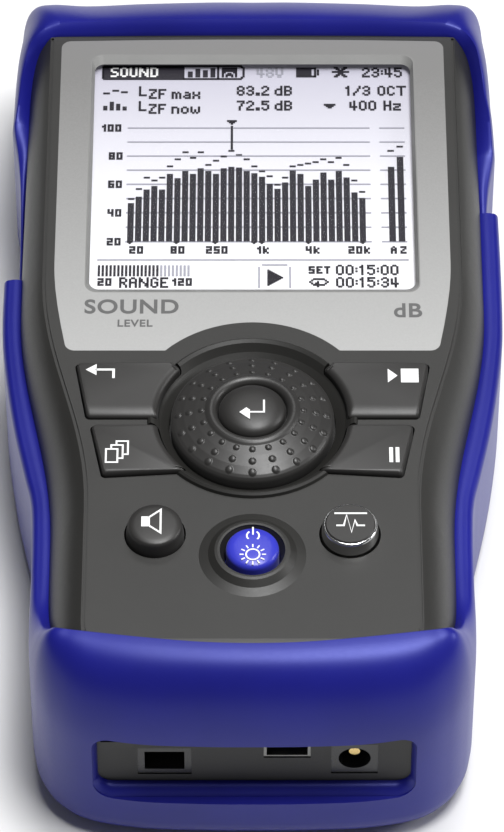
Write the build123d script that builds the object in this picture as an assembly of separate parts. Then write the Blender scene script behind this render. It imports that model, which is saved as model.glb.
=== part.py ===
from build123d import *
import math
import os

# Handheld sound level meter. Millimetres, lying on its back: X to the right,
# Y towards the input end, Z out of the display.

# ---- outer sizes -----------------------------------------------------------
TOP_Y = 90.0            # outer face of the upper bumper
END_Y = -90.0           # outer face of the lower boot
SKIN = 3.0              # jacket thickness over the ends of the housing
BODY_WIDE = 42.0        # half width of the housing beside the display
BODY_WAIST = 35.2       # half width of the housing below the keys
BAND_WIDE = 42.7        # half width over the thin band that joins the jacket
BUMPER_WIDE = 44.6      # half width of the upper bumper
BOOT_WIDE = 45.2        # half width of the lower boot at its upper ends
BOOT_WAIST = 38.3       # half width of the lower boot at the waist
WAIST_FROM = 6.0        # the sides start to draw in here
WAIST_TO = -48.0        # and run straight again from here
BACK_Z = 1.2            # back of the rear housing
SPLIT_Z = 21.0          # joint between the two housing halves
SIDE_Z = 28.0           # the sides stand upright to here, then roll over to the face
SHOULDER = [            # height, half width beside the display, half width at the waist
    (28.0, 42.0, 35.2),
    (33.0, 41.5, 34.6),
    (36.6, 40.6, 33.3),
    (39.4, 39.1, 31.4),
    (41.0, 37.6, 29.0),
]
FACE_Z = 41.0           # flat front face
WALL = 2.4              # housing wall
FACE_UNDER = FACE_Z - WALL

# ---- wheel and keys --------------------------------------------------------
WHEEL_Y = -28.0
WHEEL_R = 14.3
WHEEL_GAP = 0.3
KEY_ARC = 16.7          # inner ends of the four wedge keys
KEY_TOP = 42.0
KEY_FOOT = 36.6
KEY_GAP = 0.3
SPEAKER_AT = (-16.7, -54.4)
LIMIT_AT = (16.7, -54.4)
POWER_AT = (0.0, -59.0)
ENTER_BORE = 6.2

# ---- display ---------------------------------------------------------------
VIEW_X = 30.0           # half width of the opening in the metal plate
VIEW_Y0 = 1.7
VIEW_Y1 = 61.6

# ---- boards ----------------------------------------------------------------
MAIN_Z = 24.0
PAD_Z = 32.0
BOARD = 1.6

# ---- screws, stand, tripod socket ------------------------------------------
SCREWS = [(-35.5, 62.0), (35.5, 62.0), (-35.5, 4.0), (35.5, 4.0), (-26.5, -76.0), (26.5, -76.0)]
BOSS_R = 3.2
SCREW_R = 1.5
STAND_Y = 27.6
STAND_Z = 2.8
STAND_PIN_R = 0.8
TRIPOD_Y = 7.0
TRIPOD_R = 3.175

# ---- input end -------------------------------------------------------------
XLR_Z = 14.6
XLR_BORE = 9.65
XLR_SHELL = 10.2
RCA_X = 22.5
PHONES_X = -22.5

FAR = 120.0             # beyond the meter on every side
EASE = 0.02             # keeps cutting faces off the faces they would share


def box(x0, x1, y0, y1, z0, z1):
    """Box between two corners."""
    return Pos((x0 + x1) / 2, (y0 + y1) / 2, (z0 + z1) / 2) * Box(x1 - x0, y1 - y0, z1 - z0)


def rod(x, y, r, z0, z1):
    """Upright cylinder."""
    return Pos(x, y, (z0 + z1) / 2) * Cylinder(r, z1 - z0)


def along_y(x, z, r, y0, y1):
    """Cylinder lying along Y."""
    return Pos(x, (y0 + y1) / 2, z) * Rot(90, 0, 0) * Cylinder(r, y1 - y0)


def along_x(y, z, r, x0, x1):
    """Cylinder lying along X."""
    return Pos((x0 + x1) / 2, y, z) * Rot(0, 90, 0) * Cylinder(r, x1 - x0)


def turned(points, x, y):
    """Solid of revolution about an upright axis from (radius, height) points."""
    face = make_face(Polyline([(r, 0, z) for r, z in points], close=True))
    return Pos(x, y, 0) * revolve(face, Axis.Z, 360)


def plan(wide, waist, top, end, bulge_top, bulge_end, corner_top, corner_end):
    """Outline seen from the front: straight head, drawn-in waist, bowed ends."""
    side = [
        Line((wide, top - bulge_top), (wide, WAIST_FROM)),
        Spline((wide, WAIST_FROM), (waist, WAIST_TO), tangents=((0, -1), (0, -1))),
        Line((waist, WAIST_TO), (waist, end + bulge_end)),
    ]
    other = [mirror(edge, Plane.YZ) for edge in side]
    bows = [
        ThreePointArc((-wide, top - bulge_top), (0, top), (wide, top - bulge_top)),
        ThreePointArc((-waist, end + bulge_end), (0, end), (waist, end + bulge_end)),
    ]
    face = make_face(Curve() + side + other + bows)
    head = [v for v in face.vertices() if v.Y > top - bulge_top - 0.1]
    face = fillet(head, corner_top)
    foot = [v for v in face.vertices() if v.Y < end + bulge_end + 0.1 and abs(v.X) > waist - 0.1]
    return fillet(foot, corner_end)


def side_slab(nose, tail, z0, z1, heel):
    """Everything inside a side outline: a sloping nose and a rounded tail."""
    z0 -= EASE
    z1 += EASE
    nose = [(nose[0][0], nose[0][1] + EASE)] + nose[1:]
    top_y, top_z = nose[-1]
    front_y, front_z = nose[0]
    end_y, end_round = tail[0] - EASE, tail[1]
    lines = [
        Spline([(0, y, z) for y, z in nose]),
        Line((0, top_y, top_z), (0, top_y, z0 + heel)),
        Line((0, top_y, z0 + heel), (0, top_y - heel, z0)),
        Line((0, top_y - heel, z0), (0, end_y + heel, z0)),
        Line((0, end_y + heel, z0), (0, end_y, z0 + heel)),
        Line((0, end_y, z0 + heel), (0, end_y, z1 - end_round)),
        ThreePointArc(
            (0, end_y, z1 - end_round),
            (0, end_y + end_round * (1 - math.sqrt(0.5)), z1 - end_round * (1 - math.sqrt(0.5))),
            (0, end_y + end_round, z1),
        ),
        Line((0, end_y + end_round, z1), (0, front_y, front_z)),
    ]
    return extrude(make_face(Curve() + lines), FAR / 2, dir=(1, 0, 0), both=True)


def rounded(outline, z0, z1, r):
    """Upright block on an outline, front and back edges rounded."""
    block = extrude(Pos(0, 0, z0) * outline, z1 - z0)
    block = fillet(block.faces().sort_by(Axis.Z)[-1].edges(), r)
    return fillet(block.faces().sort_by(Axis.Z)[0].edges(), r)


def body_plan(wide, waist, inset):
    """Outline of the housing for given half widths, its ends set in."""
    return plan(wide, waist, TOP_Y - SKIN + 0.4 - inset, END_Y + SKIN + inset, 3.0, 1.6, 11.0 - inset, 13.0 - inset)


def body_block():
    """Outside of the two black housing halves together."""
    upright = extrude(Pos(0, 0, BACK_Z) * body_plan(BODY_WIDE, BODY_WAIST, 0), SIDE_Z - BACK_Z)
    upright = fillet(upright.faces().sort_by(Axis.Z)[0].edges(), 4.0)
    rolled = loft([Pos(0, 0, z) * body_plan(wide, waist, 0) for z, wide, waist in SHOULDER])
    nose = [(66.0, FACE_Z), (77.5, 36.2), (85.0, 29.0), (87.3, 24.0)]
    return (upright + rolled) & side_slab(nose, (END_Y + SKIN, 10.5), BACK_Z, FACE_Z, 4.0)


def body_hollow():
    """Inside of the two black housing halves together, narrower under the face."""
    lower = rounded(body_plan(BODY_WIDE - WALL, BODY_WAIST - WALL, WALL), BACK_Z + WALL, 34.6, 1.4)
    upper = extrude(Pos(0, 0, 30.0) * body_plan(37.4, 29.8, 6.0), FACE_UNDER - 30.0)
    nose = [(64.6, FACE_UNDER), (75.8, 34.0), (82.8, 27.3), (84.7, 22.5)]
    return (lower + upper) & side_slab(nose, (END_Y + SKIN + WALL, 8.1), BACK_Z + WALL, FACE_UNDER, 2.4)


def wedge(points):
    """Outline of one wedge key: a polygon with the wheel's arc taken out."""
    face = make_face(Polyline(points, close=True)) - Pos(0, WHEEL_Y) * Circle(KEY_ARC)
    return fillet(face.vertices(), 0.6)


def wedge_key(face):
    """Wedge key: rounded cap through the face, wider foot underneath."""
    cap = extrude(Pos(0, 0, KEY_FOOT) * face, KEY_TOP - KEY_FOOT)
    cap = fillet(cap.faces().sort_by(Axis.Z)[-1].edges(), 0.5)
    foot = extrude(Pos(0, 0, KEY_FOOT) * offset(face, 0.7), 0.7)
    return cap + foot


def round_key(at, r_top, r_base, top, crown, foot_r):
    """Round key: tapered barrel with a crowned top and a wider foot."""
    barrel = [
        (0, KEY_FOOT),
        (foot_r, KEY_FOOT),
        (foot_r, KEY_FOOT + 0.8),
        (r_base, KEY_FOOT + 0.8),
        (r_base, FACE_Z),
        (r_top, top - crown),
        (r_top - crown, top - 0.12),
        (0, top),
    ]
    return turned(barrel, at[0], at[1])


ESCAPE = wedge([(-31.0, -15.7), (-14.2, -15.6), (-9.0, -20.0), (-9.0, -28.1), (-28.9, -28.1)])
PAGE = wedge([(-28.1, -30.1), (-9.0, -30.1), (-9.0, -40.3), (-25.9, -41.5)])
START = mirror(ESCAPE, Plane.YZ)
PAUSE = mirror(PAGE, Plane.YZ)
WEDGES = [ESCAPE, PAGE, START, PAUSE]

nodes = {}

# ---- bezel plate -----------------------------------------------------------
plate_side = [
    Line((35.5, 65.0), (35.5, 9.0)),
    Spline((35.5, 9.0), (34.6, -2.2), (32.9, -12.2), tangents=((0, -1), (-0.2, -1))),
    Line((32.9, -12.2), (15.4, -12.2)),
]
plate_arcs = [
    ThreePointArc((-15.4, -12.2), (0, -5.5), (15.4, -12.2)),
    ThreePointArc((-35.5, 65.0), (0, 65.5), (35.5, 65.0)),
]
plate_face = make_face(Curve() + plate_side + [mirror(e, Plane.YZ) for e in plate_side] + plate_arcs)
plate_face = fillet([v for v in plate_face.vertices() if abs(v.X) > 30 and v.Y > 50], 1.8)
plate_face = fillet([v for v in plate_face.vertices() if abs(v.X) > 30 and v.Y < -10], 1.8)
view_face = Pos(0, (VIEW_Y0 + VIEW_Y1) / 2) * RectangleRounded(2 * VIEW_X, VIEW_Y1 - VIEW_Y0, 2.2)
view_hole = extrude(Pos(0, 0, 30) * view_face, 20)
nodes["bezel_plate"] = extrude(Pos(0, 0, FACE_Z - 1.0) * plate_face, 1.0) - view_hole

# ---- housings --------------------------------------------------------------
block = body_block()
hollow = body_hollow()
front_half = box(-FAR, FAR, -FAR, FAR, SPLIT_Z, FAR)
rear_half = box(-FAR, FAR, -FAR, FAR, -FAR, SPLIT_Z)
lower_port = box(-27.5, 27.5, -88.0, -82.0, 13.0, 28.0)
upper_port = box(-33.0, 33.0, 80.0, 90.0, 3.6, 27.0)

front = (block - hollow) & front_half
front -= extrude(Pos(0, 0, FACE_Z - 1.0) * plate_face, 2.0)
front -= view_hole
groove_at = (37.5, 28.8, 84.0, -84.0, 3.0, 1.6, 5.0, 9.0)
groove_in = (37.0, 28.3, 83.5, -83.5, 3.0, 1.6, 5.0, 9.0)
groove = extrude(Pos(0, 0, FACE_Z - 0.4) * (plan(*groove_at) - plan(*groove_in)), 1.0)
front -= groove & box(-FAR, FAR, -FAR, 65.8, 0, FAR)
for x, y in SCREWS:
    front += (rod(x, y, BOSS_R, SPLIT_Z, FACE_UNDER + 0.5) & block) - rod(x, y, SCREW_R, SPLIT_Z, 31.0)
front -= rod(0, WHEEL_Y, 18.4, 30, 50)
collar = [(14.6, 37.6), (14.6, 38.8), (16.2, 40.2), (17.2, 41.5), (17.8, 41.9), (18.2, 41.6), (18.4, 41.0)]
front += turned(collar + [(18.4, FACE_UNDER), (18.0, 37.6)], 0, WHEEL_Y)
mound = [(0, FACE_UNDER), (9.2, FACE_UNDER), (9.2, FACE_Z), (7.6, 41.5), (6.5, 42.4), (6.0, 42.5), (0, 42.0)]
front += turned(mound, *POWER_AT)
crater = [(0, 30), (4.85, 30), (4.85, 40.6), (5.6, 42.2), (5.6, 46), (0, 46)]
front -= turned(crater, *POWER_AT)
for face in WEDGES:
    front -= extrude(Pos(0, 0, 30) * offset(face, KEY_GAP), 20)
for x, y in (SPEAKER_AT, LIMIT_AT):
    front -= rod(x, y, 5.3, 30, 50)
front -= lower_port
front -= upper_port
nodes["front_housing"] = front

rear = (block - hollow) & rear_half
bay = box(-23.8, 23.8, -71.0, -15.0, 3.6, 19.6)
rear += box(-25.3, 25.3, -72.5, -13.5, 3.0, SPLIT_Z) - bay
rear -= box(-23.3, 23.3, -70.3, -15.7, 0, 3.7)
pocket = box(-22.9, 22.9, -8.4, 29.2, 0, 4.4)
rear += box(-24.9, 24.9, -10.4, 31.2, 2.0, 6.4)
rear -= pocket
rear -= box(-7.0, 7.0, -12.0, -8.0, 0, 4.4)
rear += box(-8.0, 8.0, -12.9, -9.9, 4.4, 6.4)
rear += rod(0, TRIPOD_Y, 7.5, BACK_Z, 12.0)
rear -= rod(0, TRIPOD_Y, 4.5, 0, 10.0)
for x in (-24.0, 24.0):
    rear -= along_x(STAND_Y, STAND_Z, STAND_PIN_R, x - 1.5, x + 1.5)
for x, y in SCREWS:
    rear += rod(x, y, BOSS_R, 2.0, SPLIT_Z)
    rear -= rod(x, y, SCREW_R, 0, 30.0)
    rear -= rod(x, y, 2.8, 0, 3.4)
for ring, count in ((0.0, 1), (3.6, 6), (7.2, 12), (10.8, 18)):
    for i in range(count):
        turn = 2 * math.pi * i / count
        rear -= rod(ring * math.cos(turn), 46 + ring * math.sin(turn), 0.8, 0, 3.7)
seal_outer = plan(40.6, 33.8, 86.2, -85.9, 3.0, 1.6, 6.9, 12.0)
seal_inner = plan(40.0, 33.2, 85.6, -85.3, 3.0, 1.6, 6.4, 11.5)
seal = extrude(Pos(0, 0, SPLIT_Z - 0.8) * (seal_outer - seal_inner), 0.8)
seal -= [lower_port, upper_port]
rear -= seal
rear -= lower_port
rear -= upper_port
nodes["rear_housing"] = rear
nodes["housing_seal"] = seal

screws = []
for x, y in SCREWS:
    head = rod(x, y, 2.6, 1.7, 3.4) - Pos(x, y, 2.0) * Rot(0, 0, 30) * extrude(RegularPolygon(1.2, 6), -1, both=True)
    screws.append(head + rod(x, y, SCREW_R, 3.4, 29.0))
nodes["housing_screws"] = Compound(children=screws)

# ---- blue jacket -----------------------------------------------------------
bumper_plan = plan(BUMPER_WIDE, 37.6, TOP_Y, END_Y, 3.2, 2.0, 10.5, 15.0)
bumper_nose = [(68.0, 43.4), (72.0, 42.8), (80.4, 36.6), (87.0, 30.0), (90.0, 24.0)]
bumper = rounded(bumper_plan, 0, 43.4, 5.0) & side_slab(bumper_nose, (END_Y, 12), 0, 43.4, 4.0)
bumper -= block
arch = ThreePointArc((-60, 64.6), (0, 66.7), (60, 64.6))
arch_face = make_face(Curve() + [arch, Polyline([(-60, 64.6), (-60, -FAR), (60, -FAR), (60, 64.6)])])
bumper -= extrude(Pos(0, 0, 36.0) * arch_face, 20)
for sign, low in ((-1, 40.0), (1, 32.0)):
    wing_cut = [(low + 14, FAR), (low + 14, 36.0), (low, 31.0), (low, -5), (-FAR, -5), (-FAR, FAR)]
    wing_face = make_face(Polyline([(0, y, z) for y, z in wing_cut], close=True))
    bumper -= extrude(wing_face, sign * FAR, dir=(1, 0, 0))
bumper += (extrude(Pos(0, 0, 3.0) * body_plan(BAND_WIDE, 36.0, 0), 24.6) - block) & box(-50, 50, 14.6, 42.0, 0, 50)
bumper -= box(30, 50, 0, 31.0, -5, 50)
bumper -= box(-37.0, 37.0, -FAR, 76.0, -5, BACK_Z + 0.1)
bumper -= box(-33.6, 33.6, 80.0, 100.0, 3.6, 27.4)
nodes["upper_bumper"] = bumper

boot_plan = plan(BOOT_WIDE, BOOT_WAIST, TOP_Y, END_Y, 3.2, 2.4, 10.5, 15.5)
boot = rounded(boot_plan, 0, 43.2, 5.0) & side_slab([(66, 43.2), (90, 42.0)], (END_Y, 12.5), 0, 43.2, 4.5)
boot -= block
lip = ThreePointArc((-60, -73.5), (0, -79.3), (60, -73.5))
lip_face = make_face(Curve() + [lip, Polyline([(-60, -73.5), (-60, FAR), (60, FAR), (60, -73.5)])])
boot -= extrude(Pos(0, 0, FACE_Z - 0.1) * lip_face, 20)
for sign, high in ((-1, 14.4), (1, 30.8)):
    grip_cut = [(-76, FAR), (-74.5, 42.0), (-64, 33.0), (-54, 30.5), (high, 30.5), (high, -5), (FAR, -5)]
    grip_face = make_face(Polyline([(0, y, z) for y, z in grip_cut + [(FAR, FAR)]], close=True))
    boot -= extrude(grip_face, sign * FAR, dir=(1, 0, 0))
boot -= box(-31.0, 31.0, -76.0, FAR, -5, BACK_Z + 0.1)
slot_face = Pos(0.3, 0, 20.75) * Rot(90, 0, 0) * RectangleRounded(53.4, 13.0, 3.0)
boot -= Pos(0, -80, 0) * extrude(slot_face, 20, dir=(0, -1, 0))
boot -= lower_port
nodes["lower_boot"] = boot

# ---- display ---------------------------------------------------------------
bevel = loft([
    Pos(0, 31.65, 40.0 - EASE) * RectangleRounded(58.4, 56.6, 1.8),
    Pos(0, 31.65, FACE_Z + EASE) * RectangleRounded(59.6, 59.6, 2.2),
])
nodes["display_frame"] = extrude(Pos(0, 0, 40.0) * view_face, 1.0) - bevel
nodes["display_window"] = extrude(Pos(0, 0, 38.7) * view_face, 1.3)
nodes["lcd_panel"] = box(-30.5, 30.5, 2.0, 62.5, 36.5, 38.5)
nodes["lcd_backlight"] = box(-30.5, 30.5, 2.0, 62.5, 33.5, 36.5)
lcd_frame = box(-31.5, 31.5, 1.0, 63.4, 32.8, 38.5) - box(-30.6, 30.6, 1.9, 62.6, 33.5, 40)
lcd_frame -= box(-24.0, 24.0, 8.0, 56.0, 30, 34)
nodes["lcd_frame"] = lcd_frame - box(-16, 16, 0, 2.0, 33.5, 36.2)
flex_path = [(1.9, 35.2), (-0.6, 35.2), (-0.6, 26.4), (4.0, 26.4), (4.0, 26.2), (-0.8, 26.2), (-0.8, 35.4), (1.9, 35.4)]
flex_face = make_face(Polyline([(0, y, z) for y, z in flex_path], close=True))
nodes["lcd_flex"] = extrude(flex_face, 14, dir=(1, 0, 0), both=True)
flex_socket = box(-15.5, 15.5, 3.0, 7.0, MAIN_Z + BOARD, 28.2) - box(-14.1, 14.1, 2.9, 4.1, 26.1, 26.5)

# ---- boards ----------------------------------------------------------------
main_face = make_face(Polyline([
    (-36.5, 57), (36.5, 57), (36.5, -4), (30.5, -34), (30.5, -70), (22.5, -82),
    (-22.5, -82), (-30.5, -70), (-30.5, -34), (-36.5, -4),
], close=True))
main_board = extrude(Pos(0, 0, MAIN_Z) * main_face, BOARD)
for x, y in SCREWS:
    main_board -= rod(x, y, BOSS_R + 0.3, 20, 30)
nodes["main_board"] = main_board
pad_points = [(31.0, -11.5), (29.6, -40), (29.0, -66), (-29.0, -66), (-29.6, -40), (-31.0, -11.5)]
pad_face = make_face(Polyline(pad_points, close=True))
nodes["keypad_board"] = extrude(Pos(0, 0, PAD_Z) * pad_face, BOARD)
posts = [rod(x, y, 2.4, MAIN_Z + BOARD, PAD_Z) for x in (-26.0, 26.0) for y in (-15.0, -62.0)]
posts += [rod(x, y, 2.4, MAIN_Z + BOARD, 32.8) for x in (-27.8, 27.8) for y in (12.0, 52.0)]
nodes["board_spacers"] = Compound(children=posts)
pins = [box(-9.6 + 2.54 * i, -8.9 + 2.54 * i, -46.3, -45.7, MAIN_Z + BOARD + 1.2, PAD_Z) for i in range(8)]
nodes["board_connector"] = Compound(children=[box(-10.6, 9.9, -47.5, -44.5, MAIN_Z + BOARD, MAIN_Z + BOARD + 1.2)] + pins)
can = box(-13, 13, 18, 44, MAIN_Z + BOARD, 29.2) - box(-12.6, 12.6, 18.4, 43.6, MAIN_Z + BOARD, 28.8)
nodes["input_shield"] = can
chips = [
    (-22, -12, -22, -10, 1.4), (-4, 8, -24, -12, 1.6), (14, 22, -26, -16, 1.2), (-22, -14, -40, -34, 1.2),
    (4, 14, -38, -32, 1.0), (-9, 6, 22, 38, 2.0), (-28, -20, 24, 34, 1.4), (19, 29, 26, 36, 1.4),
]
packages = [box(x0, x1, y0, y1, MAIN_Z + BOARD, MAIN_Z + BOARD + h) for x0, x1, y0, y1, h in chips]
nodes["clock_cell"] = rod(20, -50, 6.2, MAIN_Z + BOARD + 0.6, MAIN_Z + BOARD + 2.6)
holder = rod(20, -50, 7.2, MAIN_Z + BOARD, MAIN_Z + BOARD + 2.0) - rod(20, -50, 6.2, MAIN_Z + BOARD + 0.6, 40)
nodes["board_parts"] = Compound(children=packages + [flex_socket, holder])

# ---- wheel -----------------------------------------------------------------
wheel_points = [
    (ENTER_BORE, 37.2), (ENTER_BORE, 43.0), (6.9, 43.7), (7.4, 43.7), (8.0, 43.2), (10.0, 42.8),
    (12.0, 42.1), (13.6, 41.2), (WHEEL_R, 40.7), (WHEEL_R, 37.3), (15.2, 37.3), (15.2, 36.2),
    (13.3, 36.2), (13.3, 37.2),
]
wheel = turned(wheel_points, 0, WHEEL_Y)
bumps = []
for radius, height in ((13.0, 41.5), (11.1, 42.4), (8.9, 43.0)):
    for i in range(20):
        turn = math.pi / 2 + 2 * math.pi * i / 20
        bumps.append(Pos(radius * math.cos(turn), WHEEL_Y + radius * math.sin(turn), height - 0.2) * Sphere(0.55))
nodes["jog_wheel"] = wheel + bumps
nodes["encoder_rotor"] = turned([(8.0, 34.7), (11.45, 34.7), (11.45, 37.2), (8.0, 37.2)], 0, WHEEL_Y)
encoder = [(6.4, 33.6), (13.0, 33.6), (13.0, 36.9), (11.5, 36.9), (11.5, 34.4), (6.4, 34.4)]
nodes["encoder_body"] = turned(encoder, 0, WHEEL_Y)
enter = [
    (0, 35.3), (7.4, 35.3), (7.4, 36.6), (5.9, 36.6), (5.9, 42.6), (5.5, 43.5), (4.6, 44.1), (2.6, 44.5), (0, 44.6),
]
nodes["enter_key"] = turned(enter, 0, WHEEL_Y)
enter_pad = turned([(0, 33.6), (5.6, 33.6), (5.6, 33.9), (3.2, 35.3), (0, 35.3)], 0, WHEEL_Y)

# ---- keys ------------------------------------------------------------------
nodes["escape_key"] = wedge_key(ESCAPE)
nodes["page_key"] = wedge_key(PAGE)
nodes["start_stop_key"] = wedge_key(START)
nodes["pause_key"] = wedge_key(PAUSE)
nodes["speaker_key"] = round_key(SPEAKER_AT, 4.5, 5.0, 44.0, 0.5, 5.9)
nodes["power_key"] = round_key(POWER_AT, 4.5, 4.55, 43.5, 0.7, 5.6)
limit_cap = [(0, 41.0), (3.5, 41.0), (3.5, 43.3), (4.5, 43.3), (4.5, 43.6), (4.1, 43.95), (0, 44.0)]
nodes["limit_key_cap"] = turned(limit_cap, *LIMIT_AT)
limit_ring = [
    (2.4, KEY_FOOT), (5.9, KEY_FOOT), (5.9, 37.4), (5.0, 37.4), (5.0, 41.0), (4.6, 43.3), (3.5, 43.3), (3.5, 41.0),
    (2.4, 41.0),
]
nodes["limit_key_ring"] = turned(limit_ring, *LIMIT_AT)
nodes["limit_lamp"] = box(LIMIT_AT[0] - 0.8, LIMIT_AT[0] + 0.8, LIMIT_AT[1] - 0.5, LIMIT_AT[1] + 0.5, 33.6, 34.4)

mat = extrude(Pos(0, 0, PAD_Z + BOARD) * offset(pad_face, -0.8), 0.8) - rod(0, WHEEL_Y, 13.3, 30, 40)
for face in WEDGES:
    mat += extrude(Pos(0, 0, 34.0) * offset(face, -1.6), KEY_FOOT - 34.0)
for x, y in (SPEAKER_AT, POWER_AT, LIMIT_AT):
    mat += rod(x, y, 4.4, 34.0, KEY_FOOT)
mat -= rod(LIMIT_AT[0], LIMIT_AT[1], 2.4, 30, 40)
domes = []
for x, y in ((-22, -21.5), (-20, -35.5), (22, -21.5), (20, -35.5), SPEAKER_AT, POWER_AT):
    domes.append(turned([(0, 33.6), (1.9, 33.6), (1.2, 34.0), (0, 34.1)], x, y))
nodes["snap_domes"] = Compound(children=domes)
for dome in domes:
    mat -= dome
nodes["keymat"] = mat + enter_pad

# ---- battery and door ------------------------------------------------------
pack = box(-22.8, 22.8, -69.8, -17.0, 4.0, 19.0)
nodes["battery_pack"] = fillet(pack.edges().filter_by(Axis.Y), 2.5)
door = box(-23.0, 23.0, -70.0, -16.0, BACK_Z, 3.6)
for i in range(4):
    door -= box(-9, 9, -64 + 2.6 * i, -62.8 + 2.6 * i, 0, 1.7)
nodes["battery_door"] = door
nodes["battery_contacts"] = Compound(children=[box(x - 1.5, x + 1.5, -17.0, -15.0, 7.0, 14.0) for x in (-7, 0, 7)])

# ---- stand and tripod socket -----------------------------------------------
stand = box(-22.5, 22.5, -8.0, STAND_Y, STAND_Z - 1.25, STAND_Z + 1.25)
stand += along_x(STAND_Y, STAND_Z, 1.25, -22.5, 22.5)
stand = fillet([e for e in stand.edges().filter_by(Axis.Z) if e.center().Y < 0], 3.0)
stand -= box(-13, 13, -3.0, 17.0, 0, 10)
for x in (-20.7, 20.7):
    stand -= along_x(STAND_Y, STAND_Z, STAND_PIN_R + 0.05, x - 1.9, x + 1.9)
nodes["kickstand"] = stand
nodes["stand_pins"] = Compound(children=[
    along_x(STAND_Y, STAND_Z, STAND_PIN_R, -25.5, -19.0),
    along_x(STAND_Y, STAND_Z, STAND_PIN_R, 19.0, 25.5),
])
nodes["tripod_insert"] = rod(0, TRIPOD_Y, 4.5, BACK_Z, 10.0) - rod(0, TRIPOD_Y, TRIPOD_R, 0, 9.0)

# ---- loudspeaker -----------------------------------------------------------
ring = [(11.5, 4.4), (13.6, 4.4), (13.6, 6.4), (7.4, 9.6), (0, 9.6), (0, 8.8), (6.8, 8.8), (11.5, 6.0)]
nodes["speaker_basket"] = turned(ring, 0, 46)
nodes["speaker_cone"] = turned([(0, 6.6), (5.0, 6.6), (11.4, 5.0), (11.4, 5.4), (5.4, 7.6), (0, 7.6)], 0, 46)
nodes["speaker_gasket"] = turned([(11.8, 3.6), (13.6, 3.6), (13.6, 4.4), (11.8, 4.4)], 0, 46)

# ---- input end -------------------------------------------------------------
tray = upper_port & box(-FAR, FAR, 81.0, 86.0, 0, FAR)
tray -= box(-31.8, 31.8, 82.5, 90, 4.6, 26.0)
tray -= along_y(0, XLR_Z, XLR_SHELL, 80, 84)
tray -= along_y(RCA_X, XLR_Z, 3.2, 80, 84)
tray -= along_y(PHONES_X, XLR_Z, 3.0, 80, 84)
latch_slot = box(-4.3, 4.3, 79.6, 83.0, 23.7, 26.3)
tray -= latch_slot & box(-FAR, FAR, 0, FAR, 0, 26.0)
nodes["upper_end_panel"] = tray
shell = along_y(0, XLR_Z, XLR_SHELL, 61.0, 82.5) - along_y(0, XLR_Z, XLR_BORE, 62.5, 90)
spots = [(-4.75, 0.0), (4.75, 0.0), (0.0, -4.75)]
insert = along_y(0, XLR_Z, 7.9, 62.5, 81.0)
contacts = []
for dx, dz in spots:
    insert -= along_y(dx, XLR_Z + dz, 1.75, 60, 90)
    shell -= along_y(dx, XLR_Z + dz, 1.75, 60, 63)
    contacts.append(along_y(dx, XLR_Z + dz, 1.75, 58.5, 80.4) - along_y(dx, XLR_Z + dz, 1.25, 66, 90))
shell -= latch_slot
nodes["xlr_shell"] = shell
nodes["xlr_insert"] = insert
nodes["xlr_contacts"] = Compound(children=contacts)
nodes["xlr_latch"] = box(-4.0, 4.0, 80.0, 84.6, 24.6, 25.7)
rca = along_y(RCA_X, XLR_Z, 4.15, 82.5, 89.6) + along_y(RCA_X, XLR_Z, 3.2, 76.0, 82.5)
nodes["rca_shell"] = rca - along_y(RCA_X, XLR_Z, 2.9, 74, 92)
core = along_y(RCA_X, XLR_Z, 2.9, 76.0, 89.0) - along_y(RCA_X, XLR_Z, 2.0, 70, 92)
nodes["rca_insulator"] = core
nodes["rca_contact"] = along_y(RCA_X, XLR_Z, 2.0, 72.5, 88.6) - along_y(RCA_X, XLR_Z, 1.6, 78.0, 92)
phones = box(PHONES_X - 3.5, PHONES_X + 3.5, 69.0, 81.0, XLR_Z - 3.2, XLR_Z + 3.2)
phones += along_y(PHONES_X, XLR_Z, 3.0, 81.0, 83.4)
nodes["headphone_jack"] = phones - along_y(PHONES_X, XLR_Z, 1.75, 70.0, 92)

# ---- connector end ---------------------------------------------------------
panel = box(-27.5, 27.5, -86.2, -84.2, 13.0, 28.0)
panel += box(-25.8, -20.2, -87.0, -86.0, 23.6, 25.2)
panel += box(-10.0, -4.2, -87.0, -86.0, 23.6, 25.2)
panel -= box(-19.6, -10.4, -88, -80, 15.2, 22.4)
panel -= box(0.4, 12.2, -88, -80, 25.6, 27.0)
panel -= box(1.9, 9.9, -88, -80, 19.8, 24.0)
panel -= box(13.4, 21.4, -88, -80, 15.4, 23.4)
nodes["lower_end_panel"] = panel
io_block = box(-19.6, -10.4, -86.0, -74.0, 15.2, 22.4) - box(-18.4, -11.6, -88, -77, 16.4, 21.2)
nodes["io_socket"] = io_block + box(-19.6, -10.4, -84.0, -74.0, 22.4, MAIN_Z)
socket_pins = [box(x, x + 0.6, -83, -77, 18.4, 19.2) for x in (-17.6, -16.2, -14.8, -13.4)]
usb = box(1.9, 9.9, -86.0, -77.0, 19.8, MAIN_Z) - box(2.4, 9.4, -88, -78, 20.3, 23.5)
nodes["usb_socket"] = usb + box(3.6, 8.2, -84.6, -77.5, 21.5, 22.4)
dc = box(13.4, 21.4, -86.0, -73.0, 15.4, MAIN_Z) & box(-FAR, FAR, -FAR, FAR, 0, MAIN_Z)
dc -= box(13.3, 21.5, -86.1, -84.2, 23.4, 25)
nodes["dc_socket"] = dc - along_y(17.4, 19.4, 2.75, -90, -75)
nodes["socket_pins"] = Compound(children=socket_pins + [along_y(17.4, 19.4, 0.95, -84.5, -75.0)])
sd = box(-0.6, 13.2, -83.9, -70.0, MAIN_Z + BOARD, 27.6) - box(0.5, 12.1, -90, -71.0, MAIN_Z + BOARD, 26.95)
nodes["sd_socket"] = sd
nodes["sd_card"] = box(0.8, 11.8, -87.0, -72.0, 25.95, 26.65)

os.makedirs("parts", exist_ok=True)
for name, shape in nodes.items():
    shape.label = name
    export_step(shape, os.path.join("parts", name + ".step"))
print(len(nodes), "nodes written")
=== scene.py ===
import math

import bmesh
import bpy
import numpy as np
from mathutils import Matrix, Vector


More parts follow.
